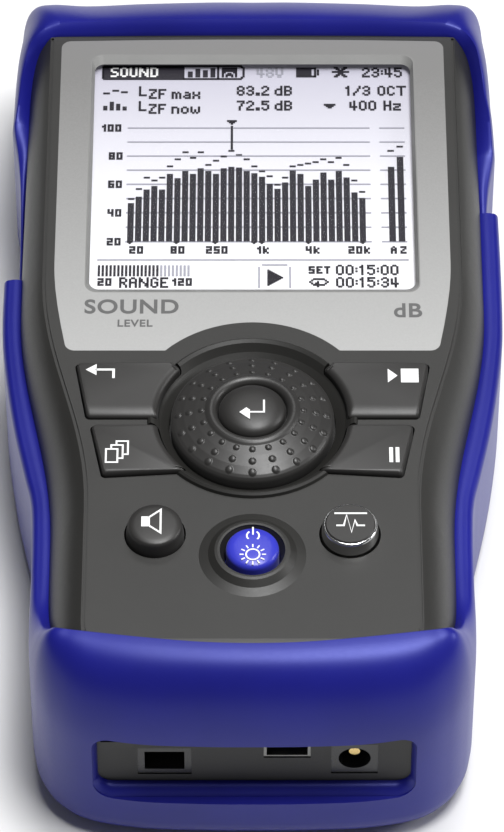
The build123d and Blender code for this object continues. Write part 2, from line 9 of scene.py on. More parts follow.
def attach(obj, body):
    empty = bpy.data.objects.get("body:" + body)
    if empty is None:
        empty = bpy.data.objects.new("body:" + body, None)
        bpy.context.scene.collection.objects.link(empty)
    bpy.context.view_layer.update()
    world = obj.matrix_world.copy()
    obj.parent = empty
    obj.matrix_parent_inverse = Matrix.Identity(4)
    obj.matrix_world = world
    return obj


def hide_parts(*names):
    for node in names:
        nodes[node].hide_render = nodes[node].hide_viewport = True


MM = 0.001
FACE = 41.0
WHEEL = (0.0, -28.0)
SPEAKER = (-16.7, -54.4)
LIMIT = (16.7, -54.4)
POWER = (0.0, -59.0)

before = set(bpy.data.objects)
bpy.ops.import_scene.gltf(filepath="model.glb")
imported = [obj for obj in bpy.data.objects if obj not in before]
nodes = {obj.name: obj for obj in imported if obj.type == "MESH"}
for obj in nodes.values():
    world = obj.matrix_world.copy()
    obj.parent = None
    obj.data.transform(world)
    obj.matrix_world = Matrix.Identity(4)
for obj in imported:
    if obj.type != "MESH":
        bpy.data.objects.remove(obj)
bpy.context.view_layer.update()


# ---------------------------------------------------------------- meshes ----
def put_mesh(name, points, faces, body, slot=None, stands_for=(), crease=40.0):
    """A mesh in metres from millimetre points, smooth except across edges sharper than the crease angle."""
    mesh = bpy.data.meshes.new(name)
    mesh.from_pydata((np.asarray(points, float) * MM).tolist(), [], [list(map(int, f)) for f in faces])
    mesh.validate()
    mesh.polygons.foreach_set("use_smooth", np.ones(len(mesh.polygons), bool))
    mesh.set_sharp_from_angle(angle=math.radians(crease))
    piece = bpy.data.objects.new(name, mesh)
    bpy.context.scene.collection.objects.link(piece)
    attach(piece, body)
    if stands_for:
        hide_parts(*stands_for)
    return piece


def joined_up(piece):
    """Joins points that lie together, so that a mesh made of several sheets is closed."""
    work = bmesh.new()
    work.from_mesh(piece.data)
    bmesh.ops.remove_doubles(work, verts=work.verts, dist=1e-7)
    bmesh.ops.recalc_face_normals(work, faces=work.faces)
    work.to_mesh(piece.data)
    work.free()
    return piece


def grid_faces(nu, nv, wrap_u=False, wrap_v=False, offset=0):
    """Quads between neighbours of a grid of nu by nv points, numbered u * nv + v."""
    u = np.arange(nu if wrap_u else nu - 1)
    v = np.arange(nv if wrap_v else nv - 1)
    a, b = np.meshgrid(u, v, indexing="ij")
    a2, b2 = (a + 1) % nu, (b + 1) % nv
    quads = np.stack([a * nv + b, a2 * nv + b, a2 * nv + b2, a * nv + b2], -1)
    return (quads.reshape(-1, 4) + offset).tolist()


def spun(profile, centre, steps=96):
    """Points and faces of a profile of (radius, height) turned about an upright axis:
    x = cx + r cos(t), y = cy + r sin(t), z = h, closed at the axis by a fan where the radius is zero."""
    profile = np.asarray(profile, float)
    t = np.linspace(0, 2 * np.pi, steps, endpoint=False)
    r, h = profile[:, 0], profile[:, 1]
    x = centre[0] + np.outer(np.cos(t), r)
    y = centre[1] + np.outer(np.sin(t), r)
    z = np.broadcast_to(h, x.shape)
    return np.stack([x, y, z], -1).reshape(-1, 3), grid_faces(steps, len(r), wrap_u=True)


def merged(parts):
    """Several (points, faces) joined into one pair."""
    points, faces, start = [], [], 0
    for p, f in parts:
        points.append(np.asarray(p, float))
        faces += [[i + start for i in face] for face in f]
        start += len(p)
    return np.vstack(points), faces


def soft_curve(knots, steps):
    """A Catmull-Rom curve through rows of numbers, sampled evenly between the first and last row:
    half of 2 p1 + (p2 - p0) f + (2 p0 - 5 p1 + 4 p2 - p3) f^2 + (3 p1 - p0 - 3 p2 + p3) f^3."""
    knots = np.asarray(knots, float)
    padded = np.vstack([2 * knots[0] - knots[1], knots, 2 * knots[-1] - knots[-2]])
    s = np.linspace(0, len(knots) - 1, steps)
    i = np.clip(s.astype(int), 0, len(knots) - 2)
    f = (s - i)[:, None]
    p0, p1, p2, p3 = (padded[i + k] for k in range(4))
    square = (2 * p0 - 5 * p1 + 4 * p2 - p3) * f**2
    cube = (3 * p1 - p0 - 3 * p2 + p3) * f**3
    return 0.5 * (2 * p1 + (p2 - p0) * f + square + cube)


def corner_curve(points, radius, steps=6):
    """A closed outline with each corner rounded: an arc tangent to both sides, whose
    radius is one number or one for each corner. The points run anticlockwise."""
    points = np.asarray(points, float)
    radii = np.broadcast_to(radius, len(points))
    before, after = np.roll(points, 1, 0), np.roll(points, -1, 0)
    to_a = before - points
    to_b = after - points
    to_a /= np.linalg.norm(to_a, axis=1)[:, None]
    to_b /= np.linalg.norm(to_b, axis=1)[:, None]
    half = np.arccos(np.clip((to_a * to_b).sum(1), -1, 1)) / 2
    cut = radii / np.tan(half)
    middle = to_a + to_b
    middle /= np.linalg.norm(middle, axis=1)[:, None]
    centre = points + middle * (radii / np.sin(half))[:, None]
    start = points + to_a * cut[:, None] - centre
    end = points + to_b * cut[:, None] - centre
    w = np.linspace(0, 1, steps)[None, :, None]
    ray = start[:, None] * (1 - w) + end[:, None] * w
    ray *= (radii[:, None] / np.maximum(np.linalg.norm(ray, axis=2), 1e-9))[..., None]
    return (centre[:, None] + ray).reshape(-1, 2)


def outward(loop):
    """Unit normals pointing out of an anticlockwise closed outline, mean of the two sides at each point."""
    loop = np.asarray(loop, float)
    side = np.roll(loop, -1, 0) - loop
    side /= np.maximum(np.linalg.norm(side, axis=1), 1e-9)[:, None]
    normal = np.stack([side[:, 1], -side[:, 0]], 1)
    mean = normal + np.roll(normal, 1, 0)
    length = np.maximum((mean * normal).sum(1), 0.3)
    return mean / length[:, None]


def moulded(loop, rings, lid=True, floor=True, share=1.0):
    """A moulded block on an outline: rings of (inset, height) from the bottom up, each the
    outline moved inwards along its normals by its inset times the point's share, with a flat
    lid and floor."""
    loop = np.asarray(loop, float)
    n = outward(loop) * np.broadcast_to(share, len(loop))[:, None]
    rows = [np.column_stack([loop - n * inset, np.full(len(loop), z)]) for inset, z in rings]
    points = np.vstack(rows)
    count = len(loop)
    faces = grid_faces(len(rings), count, wrap_v=True)
    faces = [f[::-1] for f in faces]
    if lid:
        faces.append(list(range((len(rings) - 1) * count, len(rings) * count)))
    if floor:
        faces.append(list(range(count))[::-1])
    return points, faces


def plates(rects, z0, z1):
    """Flat rectangular plates (x0, y0, x1, y1) between two heights, as one mesh."""
    r = np.asarray(rects, float).reshape(-1, 4)
    x = r[:, [0, 2, 2, 0]]
    y = r[:, [1, 1, 3, 3]]
    low = np.stack([x, y, np.full_like(x, z0)], -1)
    high = np.stack([x, y, np.full_like(x, z1)], -1)
    points = np.concatenate([low, high], 1).reshape(-1, 3)
    cube = np.array([[3, 2, 1, 0], [4, 5, 6, 7], [0, 1, 5, 4], [1, 2, 6, 5], [2, 3, 7, 6], [3, 0, 4, 7]])
    faces = (cube[None] + 8 * np.arange(len(r))[:, None, None]).reshape(-1, 4)
    return points, faces.tolist()


def stroke(path, width, z0, z1, closed=False):
    """A flat raised line of a given width along a path of (x, y): each point is moved half the
    width to both sides along the mitred normal."""
    path = np.asarray(path, float)
    ahead = np.roll(path, -1, 0) - path
    if not closed:
        ahead[-1] = ahead[-2]
    ahead /= np.maximum(np.linalg.norm(ahead, axis=1), 1e-9)[:, None]
    behind = np.roll(ahead, 1, 0)
    if not closed:
        behind[0] = ahead[0]
    n1 = np.stack([-ahead[:, 1], ahead[:, 0]], 1)
    n0 = np.stack([-behind[:, 1], behind[:, 0]], 1)
    mean = n0 + n1
    mean /= np.maximum((mean * n1).sum(1), 0.35)[:, None]
    left, right = path + mean * width / 2, path - mean * width / 2
    ring = [(left, z0), (right, z0), (right, z1), (left, z1)]
    points = np.stack([np.column_stack([p, np.full(len(p), z)]) for p, z in ring], 1).reshape(-1, 3)
    faces = grid_faces(len(path), 4, wrap_u=closed, wrap_v=True)
    if not closed:
        last = 4 * (len(path) - 1)
        faces += [[0, 1, 2, 3][::-1], [last, last + 1, last + 2, last + 3]]
    return points, faces


def filled(outline, z0, z1):
    """A flat plate on an anticlockwise outline."""
    return moulded(outline, [(0, z0), (0, z1)])


# ------------------------------------------------------------- materials ----
def material(name):
    """An empty node material and its shader, output joined."""
    made = bpy.data.materials.new(name)
    made.use_nodes = True
    tree = made.node_tree
    shader = tree.nodes["Principled BSDF"]
    return made, tree, shader


def noise(tree, scale, detail=2.0, rough=0.5, stretch=(1, 1, 1)):
    """Noise on the piece's own coordinates, stretched along the axes; gives its factor socket."""
    where = tree.nodes.new("ShaderNodeTexCoord")
    mapping = tree.nodes.new("ShaderNodeMapping")
    mapping.inputs["Scale"].default_value = stretch
    pattern = tree.nodes.new("ShaderNodeTexNoise")
    pattern.inputs["Scale"].default_value = scale
    pattern.inputs["Detail"].default_value = detail
    pattern.inputs["Roughness"].default_value = rough
    tree.links.new(where.outputs["Object"], mapping.inputs["Vector"])
    tree.links.new(mapping.outputs["Vector"], pattern.inputs["Vector"])
    return pattern.outputs["Fac"]


def ramp(tree, factor, low, high, at=(0.3, 0.7)):
    """Two tones of one colour chosen by a factor."""
    node = tree.nodes.new("ShaderNodeValToRGB")
    node.color_ramp.elements[0].position, node.color_ramp.elements[1].position = at
    node.color_ramp.elements[0].color = (*low, 1)
    node.color_ramp.elements[1].color = (*high, 1)
    tree.links.new(factor, node.inputs["Fac"])
    return node.outputs["Color"]


def span(tree, factor, low, high):
    """A number between low and high chosen by a factor."""
    node = tree.nodes.new("ShaderNodeMapRange")
    node.inputs["To Min"].default_value = low
    node.inputs["To Max"].default_value = high
    tree.links.new(factor, node.inputs["Value"])
    return node.outputs["Result"]


def bump(tree, shader, factor, strength, depth):
    """Height detail of a depth in metres."""
    node = tree.nodes.new("ShaderNodeBump")
    node.inputs["Strength"].default_value = strength
    node.inputs["Distance"].default_value = depth
    tree.links.new(factor, node.inputs["Height"])
    tree.links.new(node.outputs["Normal"], shader.inputs["Normal"])


def toned(colour, share):
    """A colour made lighter or darker by a share."""
    return tuple(min(1.0, c * share) for c in colour)


def moulded_plastic(name, colour, rough=(0.4, 0.55), grain=2600.0, strength=0.25, spread=0.10, coat=0.0):
    """Moulded plastic: fine spark-eroded grain, slightly uneven gloss and tone."""
    made, tree, shader = material(name)
    fine = noise(tree, grain, 3.0, 0.6)
    broad = noise(tree, 60.0, 3.0, 0.5)
    tone = ramp(tree, broad, toned(colour, 1 - spread), toned(colour, 1 + spread))
    tree.links.new(tone, shader.inputs["Base Color"])
    tree.links.new(span(tree, fine, *rough), shader.inputs["Roughness"])
    shader.inputs["Coat Weight"].default_value = coat
    shader.inputs["Coat Roughness"].default_value = 0.25
    bump(tree, shader, fine, strength, 0.00003)
    return made


def soft_rubber(name, colour, rough=(0.34, 0.46), sheen=0.15, grain=1500.0, spread=0.12):
    """Soft moulded rubber: matt skin, faint sheen, slow change of tone and small flow marks."""
    made, tree, shader = material(name)
    fine = noise(tree, grain, 4.0, 0.6)
    broad = noise(tree, 45.0, 4.0, 0.55, (1, 0.6, 1))
    tone = ramp(tree, broad, toned(colour, 1 - spread), toned(colour, 1 + spread))
    tree.links.new(tone, shader.inputs["Base Color"])
    tree.links.new(span(tree, fine, *rough), shader.inputs["Roughness"])
    shader.inputs["Sheen Weight"].default_value = sheen
    shader.inputs["Sheen Roughness"].default_value = 0.4
    bump(tree, shader, fine, 0.18, 0.00003)
    return made


def metal(name, colour, rough=(0.22, 0.38), stretch=(1, 1, 1), scale=900.0, strength=0.12):
    """Metal with a directional or even finish: streaks change roughness and height."""
    made, tree, shader = material(name)
    fine = noise(tree, scale, 3.0, 0.6, stretch)
    tree.links.new(ramp(tree, fine, toned(colour, 0.9), toned(colour, 1.06)), shader.inputs["Base Color"])
    tree.links.new(span(tree, fine, *rough), shader.inputs["Roughness"])
    shader.inputs["Metallic"].default_value = 1.0
    bump(tree, shader, fine, strength, 0.00002)
    return made


def circuit_board(name):
    """Lacquered board: green mask over a maze of copper tracks, slightly raised."""
    made, tree, shader = material(name)
    where = tree.nodes.new("ShaderNodeTexCoord")
    cells = tree.nodes.new("ShaderNodeTexBrick")
    cells.inputs["Scale"].default_value = 260.0
    cells.inputs["Color1"].default_value = (0.02, 0.15, 0.06, 1)
    cells.inputs["Color2"].default_value = (0.015, 0.11, 0.045, 1)
    cells.inputs["Mortar"].default_value = (0.05, 0.26, 0.10, 1)
    cells.inputs["Mortar Size"].default_value = 0.03
    tree.links.new(where.outputs["Object"], cells.inputs["Vector"])
    tree.links.new(cells.outputs["Color"], shader.inputs["Base Color"])
    tree.links.new(span(tree, noise(tree, 500.0), 0.25, 0.4), shader.inputs["Roughness"])
    bump(tree, shader, cells.outputs["Fac"], 0.3, 0.00005)
    return made


def clear_pane(name, tint, rough, share):
    """Clear moulded pane: thin tint, nearly no gloss loss, a trace of unevenness."""
    made, tree, shader = material(name)
    fine = noise(tree, 700.0)
    shader.inputs["Base Color"].default_value = (*tint, 1)
    shader.inputs["Alpha"].default_value = share
    tree.links.new(span(tree, fine, *rough), shader.inputs["Roughness"])
    return made


def screen_with_painted_shade_and_glow(name):
    """Reflective display: near-white ground with painted shade, darker and cooler towards the top, and a
    faint painted glow, with its dots just showing.
    """
    made, tree, shader = material(name)
    where = tree.nodes.new("ShaderNodeTexCoord")
    parts = tree.nodes.new("ShaderNodeSeparateXYZ")
    tree.links.new(where.outputs["Object"], parts.inputs["Vector"])
    # painted shade: the ground gets darker and cooler towards the top of the display
    height = tree.nodes.new("ShaderNodeMapRange")
    height.inputs["From Min"].default_value = 0.008
    height.inputs["From Max"].default_value = 0.060
    tree.links.new(parts.outputs["Y"], height.inputs["Value"])
    tone = ramp(tree, height.outputs["Result"], (0.90, 0.90, 0.93), (0.47, 0.46, 0.54), (0.05, 1.0))
    dots = tree.nodes.new("ShaderNodeTexChecker")
    dots.inputs["Scale"].default_value = 2900.0
    dots.inputs["Color1"].default_value = (1, 1, 1, 1)
    dots.inputs["Color2"].default_value = (0.975, 0.975, 0.98, 1)
    tree.links.new(where.outputs["Object"], dots.inputs["Vector"])
    mix = tree.nodes.new("ShaderNodeMix")
    mix.data_type, mix.blend_type = "RGBA", "MULTIPLY"
    mix.inputs["Factor"].default_value = 1.0
    tree.links.new(tone, mix.inputs["A"])
    tree.links.new(dots.outputs["Color"], mix.inputs["B"])
    tree.links.new(mix.outputs["Result"], shader.inputs["Base Color"])
    # painted glow: the ground colour is also emitted faintly, standing in for light that reaches the display
    # through the window
    tree.links.new(mix.outputs["Result"], shader.inputs["Emission Color"])
    shader.inputs["Emission Strength"].default_value = 0.10
    shader.inputs["Roughness"].default_value = 0.35
    return made


def silver_paint_painted_shade(name):
    """Sprayed silver paint: fine flake grain, with painted shade that makes its tone deeper towards the
    input end, under the upper bumper.
    """
    made, tree, shader = material(name)
    where = tree.nodes.new("ShaderNodeTexCoord")
    parts = tree.nodes.new("ShaderNodeSeparateXYZ")
    tree.links.new(where.outputs["Object"], parts.inputs["Vector"])
    # painted shade: the plate's colour runs from light at the wheel end to dark at the input end, where the
    # upper bumper shades it
    painted_shade_along = tree.nodes.new("ShaderNodeMapRange")
    painted_shade_along.inputs["From Min"].default_value = -0.012
    painted_shade_along.inputs["From Max"].default_value = 0.066
    tree.links.new(parts.outputs["Y"], painted_shade_along.inputs["Value"])
    flakes = noise(tree, 3500.0, 3.0, 0.6)
    flakes_and_painted_shade = tree.nodes.new("ShaderNodeMath")
    flakes_and_painted_shade.operation = "MULTIPLY_ADD"
    flakes_and_painted_shade.inputs[1].default_value = 0.25
    tree.links.new(flakes, flakes_and_painted_shade.inputs[0])
    tree.links.new(painted_shade_along.outputs["Result"], flakes_and_painted_shade.inputs[2])
    # flake grain mixed with the painted shade, light near the wheel and dark under the bumper
    tone = ramp(tree, flakes_and_painted_shade.outputs["Value"], (0.40, 0.40, 0.395), (0.20, 0.198, 0.195), (0.1, 1.15))
    tree.links.new(tone, shader.inputs["Base Color"])
    tree.links.new(span(tree, flakes, 0.42, 0.55), shader.inputs["Roughness"])
    shader.inputs["Metallic"].default_value = 0.25
    bump(tree, shader, flakes, 0.2, 0.00003)
    return made


BLUE = (0.009, 0.010, 0.19)
blue_rubber = soft_rubber("blue_jacket_rubber", BLUE, (0.36, 0.43), 0.0)
blue_rubber.node_tree.nodes["Principled BSDF"].inputs["IOR"].default_value = 1.62
blue_rubber.node_tree.nodes["Principled BSDF"].inputs["Specular Tint"].default_value = (0.40, 0.44, 1.0, 1)
black_shell = moulded_plastic("black_shell_plastic", (0.018, 0.0175, 0.016), (0.40, 0.52), 2600.0, 0.3)
key_rubber = soft_rubber("key_rubber", (0.022, 0.021, 0.020), (0.38, 0.48), 0.05, 2400.0)
wheel_rubber = soft_rubber("wheel_rubber", (0.026, 0.025, 0.024), (0.34, 0.44), 0.05, 2400.0)
blue_key = soft_rubber("blue_key_rubber", (0.030, 0.036, 0.46), (0.28, 0.38), 0.1)
plate_paint_painted_shade = silver_paint_painted_shade("silver_plate_paint_painted_shade")
bezel_grey = moulded_plastic("bezel_grey_plastic", (0.20, 0.20, 0.195), (0.45, 0.6), 2600.0)
ink = moulded_plastic("display_ink", (0.010, 0.008, 0.016), (0.5, 0.6), 3000.0, 0.05, 0.05)
pale_ink = moulded_plastic("display_pale_ink", (0.36, 0.36, 0.42), (0.5, 0.6), 3000.0, 0.05, 0.03)
legend_white = moulded_plastic("legend_white_print", (0.86, 0.86, 0.86), (0.5, 0.6), 3000.0, 0.05, 0.03)
legend_grey = moulded_plastic("legend_grey_print", (0.10, 0.10, 0.10), (0.5, 0.6), 3000.0, 0.05, 0.03)
steel = metal("bright_steel", (0.62, 0.62, 0.62))
nickel = metal("nickel_plate", (0.55, 0.54, 0.51), (0.18, 0.3))
dull_nickel = metal("dull_nickel", (0.22, 0.22, 0.21), (0.3, 0.45))
gold = metal("gold_plate", (0.83, 0.62, 0.26), (0.2, 0.3))
brass = metal("turned_brass", (0.74, 0.56, 0.27), (0.25, 0.4), (1, 1, 12))
black_metal = moulded_plastic("black_painted_metal", (0.03, 0.03, 0.03), (0.3, 0.45), 1800.0)
gloss_black = moulded_plastic("gloss_black_plastic", (0.022, 0.022, 0.022), (0.2, 0.3), 2000.0, 0.1)
matt_black = moulded_plastic("matt_black_plastic", (0.007, 0.007, 0.006), (0.45, 0.55), 2400.0, 0.2)
white_plastic = moulded_plastic("white_plastic", (0.72, 0.72, 0.69), (0.3, 0.4), 2000.0, 0.1)
amber_film = moulded_plastic("amber_film", (0.50, 0.22, 0.03), (0.2, 0.35), 800.0, 0.1)
grey_silicone = soft_rubber("grey_silicone", (0.38, 0.38, 0.40), (0.4, 0.5), 0.2)
pack_film = moulded_plastic("battery_film", (0.06, 0.08, 0.17), (0.2, 0.35), 400.0, 0.2)
foam = soft_rubber("black_foam", (0.025, 0.025, 0.025), (0.7, 0.85), 0.4, 900.0)
board_green = circuit_board("green_board")
pane = clear_pane("clear_window", (0.01, 0.01, 0.01), (0.03, 0.08), 0.03)
display_painted_shade_glow = screen_with_painted_shade_and_glow("display_ground_painted_shade_glow")
chrome_ring = metal("ring_silvering", (0.80, 0.80, 0.80), (0.12, 0.22), (1, 1, 1), 400.0, 0.05)

FINISH = {
    black_shell: ["front_housing", "rear_housing", "battery_door", "kickstand", "upper_end_panel"],
    plate_paint_painted_shade: ["bezel_plate"],
    bezel_grey: ["display_frame"],
    pane: ["display_window"],
    display_painted_shade_glow: ["lcd_panel", "lcd_backlight"],
    steel: ["housing_screws", "lcd_frame", "input_shield", "snap_domes", "stand_pins", "sd_socket"],
    dull_nickel: ["usb_socket"],
    nickel: ["xlr_shell", "xlr_latch", "rca_shell", "clock_cell"],
    gold: ["xlr_contacts", "rca_contact", "socket_pins", "battery_contacts"],
    brass: ["board_spacers", "tripod_insert"],
    black_metal: ["speaker_basket", "speaker_cone"],
    matt_black: ["lower_end_panel"],
    gloss_black: ["board_connector", "board_parts", "encoder_body", "headphone_jack", "io_socket",
                  "dc_socket", "sd_card", "xlr_insert"],
    white_plastic: ["encoder_rotor", "rca_insulator", "limit_lamp"],
    amber_film: ["lcd_flex"],
    grey_silicone: ["keymat"],
    pack_film: ["battery_pack"],
    foam: ["speaker_gasket", "housing_seal"],
    board_green: ["main_board", "keypad_board"],
    key_rubber: ["escape_key", "page_key", "start_stop_key", "pause_key", "speaker_key", "limit_key_cap",
                 "enter_key", "jog_wheel"],
    blue_key: ["power_key"],
    blue_rubber: ["upper_bumper", "lower_boot"],
    chrome_ring: ["limit_key_ring"],
}
for finish, names in FINISH.items():
    for name in names:
        nodes[name].data.materials.clear()
        nodes[name].data.materials.append(finish)


def dress(piece, finish):
    """One material on a piece."""
    piece.data.materials.clear()
    piece.data.materials.append(finish)
    return piece


# ------------------------------------------------------------ blue jacket ----
def jacket(name, left, right, body, slot, stands_for, steps=260):
    """A moulded jacket: a closed section carried along stations from the left tail round the end to
    the right tail. Each station holds the inner edge, the ridge, the outermost point, the height of
    that point, how square the shoulder is, the wall and the back corner. From the ridge the section
    is a quarter superellipse in plan and height, then an upright wall, a quarter ellipse under the
    back, and the same curve set in by the wall as the inside."""
    path = np.vstack([np.asarray(left, float), np.asarray(right, float)[::-1]])
    s = soft_curve(path, steps)
    inner, ridge, outer = s[:, 0:3], s[:, 3:6], s[:, 6:8]
    height, power, wall, corner = s[:, 8:9], s[:, 9:10], s[:, 10:11], s[:, 11:12]
    painted_shade_along = np.gradient(outer, axis=0)
    painted_shade_along /= np.linalg.norm(painted_shade_along, axis=1)[:, None]
    out = np.stack([painted_shade_along[:, 1], -painted_shade_along[:, 0]], 1)
    out *= np.sign((out * (outer - ridge[:, :2])).sum(1))[:, None]

    def section(edge, top, rim, rim_z, back_z, foot, crown):
        """One skin of the jacket at every station, from the inner edge round to the back."""
        f = np.linspace(0, 1, 6)[None, :, None]
        slope = edge[:, None] * (1 - f) + top[:, None] * f
        slope[..., 2] += 0.25 * np.sin(np.pi * f[..., 0]) * crown
        t = np.linspace(0, np.pi / 2, 18)[1:]
        a = np.sin(t)[None] ** (2 / power)
        b = np.cos(t)[None] ** (2 / power)
        flat = top[:, None, :2] + (rim - top[:, :2])[:, None] * a[..., None]
        high = rim_z + (top[:, 2:3] - rim_z) * b
        roll = np.concatenate([flat, high[..., None]], -1)
        g = np.linspace(0, 1, 7)[None, 1:]
        side_z = rim_z + (back_z + foot - rim_z) * g
        side = np.concatenate([np.repeat(rim[:, None], 6, 1), side_z[..., None]], -1)
        q = np.linspace(0, np.pi / 2, 9)[None, 1:]
        under = rim[:, None] - out[:, None] * (foot * (1 - np.cos(q)))[..., None]
        under_z = back_z + foot * (1 - np.sin(q))
        heel = np.concatenate([under, np.broadcast_to(under_z[..., None], (*under.shape[:2], 1))], -1)
        last = heel[:, -1:].copy()
        last[:, 0, :2] -= out * 2.2
        return np.concatenate([slope, roll, side, heel, last], 1)

    outside = section(inner, ridge, outer, height, 0.0, corner, 1.0)
    low_top = np.column_stack([inner[:, :2] * 0.5 + ridge[:, :2] * 0.5, inner[:, 2] - 1.2])
    inside_edge = np.column_stack([inner[:, :2], inner[:, 2] - 0.8])
    inside = section(inside_edge, low_top, outer - out * wall, height, 1.25, corner * 0.8, 0.0)
    loop = np.concatenate([outside, inside[:, ::-1]], 1)
    count, size = loop.shape[:2]
    faces = grid_faces(count, size, wrap_v=True)
    faces += [list(range(size)), list(range((count - 1) * size, count * size))[::-1]]
    return put_mesh(name, loop.reshape(-1, 3), faces, body, slot, stands_for, 50.0)


def across(stations):
    """The same stations on the other side of the middle plane."""
    flipped = np.array(stations, float)
    flipped[:, [0, 3, 6]] *= -1
    return flipped


def cut_through(piece, points, faces):
    """Takes a closed shape out of a piece, and keeps the result as the piece's own mesh."""
    tool = put_mesh("cutting_shape", points, faces, "meter")
    change = piece.modifiers.new("opening", "BOOLEAN")
    change.operation, change.object, change.solver = "DIFFERENCE", tool, "EXACT"
    bpy.context.view_layer.update()
    shape = bpy.data.meshes.new_from_object(piece.evaluated_get(bpy.context.evaluated_depsgraph_get()))
    piece.modifiers.clear()
    piece.data = shape
    bpy.data.objects.remove(tool)
    shape.polygons.foreach_set("use_smooth", np.ones(len(shape.polygons), bool))
    shape.set_sharp_from_angle(angle=math.radians(42))


# inner edge x y z | ridge x y z | outermost x y | its height | squareness | wall | back corner
arch = [
    (-36.9, 66.1, 41.0, -37.2, 67.6, 42.8, -43.1, 82.1, 25.4, 1.74, 2.6, 5),
    (-34.6, 66.3, 41.0, -34.8, 67.9, 43.1, -39.6, 86.2, 25.0, 1.50, 2.6, 5),
    (-29, 66.4, 41.0, -29, 68.1, 43.3, -32.5, 88.2, 24.3, 1.31, 2.6, 5),
    (-20, 66.6, 41.0, -20, 68.3, 43.4, -21, 89.0, 23.6, 1.34, 2.6, 5),
    (-8, 66.7, 41.0, -8, 68.5, 43.4, -8, 89.4, 23, 1.38, 2.6, 5),
    (0, 66.7, 41.0, 0, 68.5, 43.4, 0, 89.5, 23, 1.37, 2.6, 5),
]
left_wing = [
    (-41.9, 14.4, 26.8, -42.3, 14.4, 27.2, -42.5, 14.4, 26.6, 2.0, 0.5, 1.0),
    (-41.9, 24, 27.2, -42.4, 24, 27.7, -42.6, 24, 27, 2.0, 0.5, 1.0),
    (-41.8, 33, 28.2, -42.5, 33, 28.8, -42.75, 33, 28, 2.0, 0.5, 1.0),
    (-41.6, 39, 29.8, -42.7, 39, 30.2, -43.0, 39, 29, 2.0, 0.7, 1.5),
    (-41.4, 44.6, 31.8, -43.2, 44.6, 31.8, -43.6, 44.6, 30, 2.0, 1.2, 2.5),
    (-41.35, 49.4, 32.8, -43.9, 49.6, 33.6, -44.5, 49.8, 31, 2.0, 2.0, 3.5),
    (-41.2, 51.4, 33.0, -43.7, 51.6, 34.6, -44.6, 51.8, 30, 2.0, 2.2, 4),
    (-41.0, 56.0, 33.4, -43.1, 56.4, 36.0, -44.6, 56.5, 28, 2.0, 2.4, 4.5),
    (-40.5, 60.4, 34.8, -42.5, 60.8, 38.2, -44.5, 62.5, 27, 1.9, 2.5, 5),
    (-39.8, 63.6, 37.4, -41.5, 64.2, 40.6, -44.3, 69.5, 26, 1.7, 2.6, 5),
    (-38.6, 65.2, 40.0, -39.5, 66.5, 42.1, -43.8, 75.5, 26, 1.68, 2.6, 5),
]
right_wing = [
    (-41.6, 30.9, 29.6, -42.7, 30.9, 30.0, -43.0, 30.9, 29, 2.0, 0.7, 1.5),
    (-41.5, 36.5, 31.4, -43.1, 36.5, 31.6, -43.6, 36.5, 30, 2.0, 1.2, 2.5),
    (-41.45, 42.0, 32.6, -44.1, 42.2, 33.2, -44.65, 42.4, 31, 2.0, 2.0, 3.5),
    (-41.4, 44.2, 32.8, -44.1, 44.6, 34.2, -44.9, 44.8, 30, 2.0, 2.2, 4),
    (-41.2, 51.0, 33.0, -43.8, 51.6, 35.2, -44.8, 51.8, 28.5, 2.0, 2.3, 4.2),
] + left_wing[7:]
bumper = jacket("bumper_skin", left_wing + arch, across(right_wing + arch[:-1]), "meter", "upper_bumper",
                ["upper_bumper"])
window_loop = corner_curve([(-33.6, 3.8), (33.6, 3.8), (33.6, 27.0), (-33.6, 27.0)], 3.0)


def tunnel(loop, y0, y1):
    """A prism along Y on an outline given in X and Z."""
    loop = np.asarray(loop, float)
    rows = [np.column_stack([loop[:, 0], np.full(len(loop), y), loop[:, 1]]) for y in (y0, y1)]
    count = len(loop)
    faces = grid_faces(2, count, wrap_v=True)
    faces += [list(range(count)), list(range(count, 2 * count))[::-1]]
    return np.vstack(rows), faces


cut_through(bumper, *tunnel(window_loop, 79.0, 95.0))
dress(bumper, blue_rubber)

